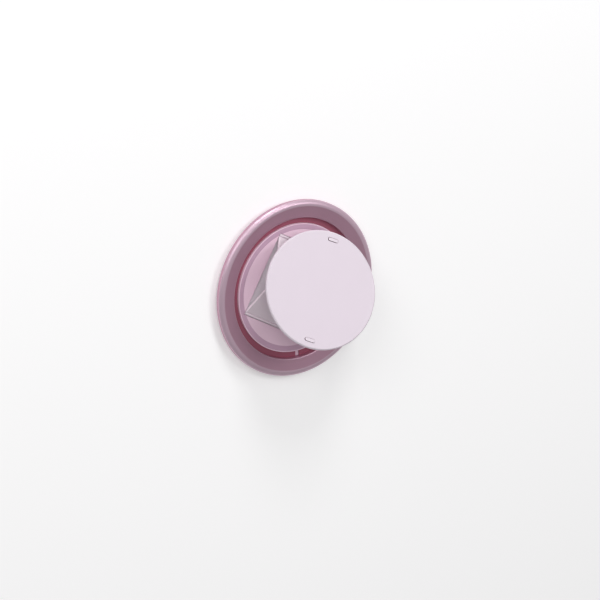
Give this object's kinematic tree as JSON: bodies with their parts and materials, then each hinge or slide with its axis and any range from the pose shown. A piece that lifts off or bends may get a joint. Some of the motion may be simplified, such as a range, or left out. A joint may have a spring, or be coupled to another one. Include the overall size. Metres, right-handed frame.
{
  "type": "phone grip",
  "caption": "Slim round magnetic grip: a pop-up finger disc on a folding linkage of hinged flaps and links, in a turntable inside a satin ring of magnets.",
  "frame": {"origin": "centre of the magnetic underside, which rests on z = 0", "axes": "+Z out of the underside towards the finger disc, X along the hinge pins, +Y towards the flap whose side of the disc is lower"},
  "size_m": [0.059, 0.059, 0.0235],
  "materials": {
    "ring_pink": "satin anodised pink",
    "base_grey": "plain rolled plate",
    "pad_grey": "soft matte silicone",
    "magnet_nickel": "nickel plate",
    "carrier_grey": "moulded matte",
    "pin_steel": "ground steel",
    "dish_pink": "fine matte pink",
    "floor_grey": "bead-blasted steel",
    "arm_pink": "matte pale pink coat",
    "disc_pink": "fine matte pale pink",
    "clip_pink": "smooth pale pink"
  },
  "bodies": {
    "base": {"outer_ring": "ring_pink", "base_plate": "base_grey", "grip_pad": "pad_grey", "ring_magnets": "magnet_nickel", "magnet_carrier": "carrier_grey", "steel_shunt": "pin_steel", "slip_washer": "carrier_grey", "retaining_ring": "ring_pink"},
    "turntable": {"turntable_dish": "dish_pink", "floor_plate": "floor_grey", "floor_rivets": "pin_steel", "catch_magnets": "magnet_nickel", "upper_hinge_pin": "pin_steel", "lower_hinge_pin": "pin_steel"},
    "upper_flap": {"upper_flap": "arm_pink", "upper_waist_pin": "pin_steel"},
    "upper_link": {"upper_link": "arm_pink"},
    "upper_yoke": {"upper_yoke": "arm_pink", "upper_pivot_pin": "pin_steel"},
    "front_disc": {"front_disc": "disc_pink", "upper_bearing_clip": "clip_pink", "lower_bearing_clip": "clip_pink", "catch_plates": "pin_steel"},
    "lower_flap": {"lower_flap": "arm_pink", "lower_waist_pin": "pin_steel"},
    "lower_link": {"lower_link": "arm_pink"},
    "lower_yoke": {"lower_yoke": "arm_pink", "lower_pivot_pin": "pin_steel"}
  },
  "joints": [
    {"name": "turntable_swivel", "type": "hinge", "parent": "base", "child": "turntable", "pos_m": [0, 0, 0.0011], "axis": [0, 0, 1], "continuous": true},
    {"name": "upper_flap_fold", "type": "hinge", "parent": "turntable", "child": "upper_flap", "pos_m": [0, 0.0137, 0.00198], "axis": [1, 0, 0], "range_deg": [0, 30.56]},
    {"name": "upper_link_fold", "type": "hinge", "parent": "upper_flap", "child": "upper_link", "pos_m": [0, 0.00288, 0.00893], "axis": [1, 0, 0], "range_deg": [-34.41, 0]},
    {"name": "upper_yoke_tilt", "type": "hinge", "parent": "upper_link", "child": "upper_yoke", "pos_m": [0, 0.01657, 0.01036], "axis": [1, 0, 0], "range_deg": [0, 21.33]},
    {"name": "disc_roll", "type": "hinge", "parent": "upper_yoke", "child": "front_disc", "pos_m": [0, 0.01867, 0.0097], "axis": [0, 0.9537, -0.3007], "range_deg": [0, 15.03]},
    {"name": "lower_flap_fold", "type": "hinge", "parent": "turntable", "child": "lower_flap", "pos_m": [0, -0.0137, 0.00198], "axis": [1, 0, 0], "range_deg": [-28.19, 0]},
    {"name": "lower_link_fold", "type": "hinge", "parent": "lower_flap", "child": "lower_link", "pos_m": [0, -0.0026, 0.00847], "axis": [1, 0, 0], "range_deg": [0, 76.86]},
    {"name": "lower_yoke_tilt", "type": "hinge", "parent": "lower_link", "child": "lower_yoke", "pos_m": [0, -0.01128, 0.01914], "axis": [1, 0, 0], "range_deg": [-31.23, 0]}
  ],
  "couplings": [
    {"joint": "upper_link_fold", "follows": "upper_flap_fold", "ratio": -1.1241},
    {"joint": "upper_yoke_tilt", "follows": "upper_flap_fold", "ratio": 0.69629},
    {"joint": "disc_roll", "follows": "upper_flap_fold", "ratio": 0.49027},
    {"joint": "lower_flap_fold", "follows": "upper_flap_fold", "ratio": -0.92072},
    {"joint": "lower_link_fold", "follows": "upper_flap_fold", "ratio": 2.5132},
    {"joint": "lower_yoke_tilt", "follows": "upper_flap_fold", "ratio": -1.0202}
  ]
}
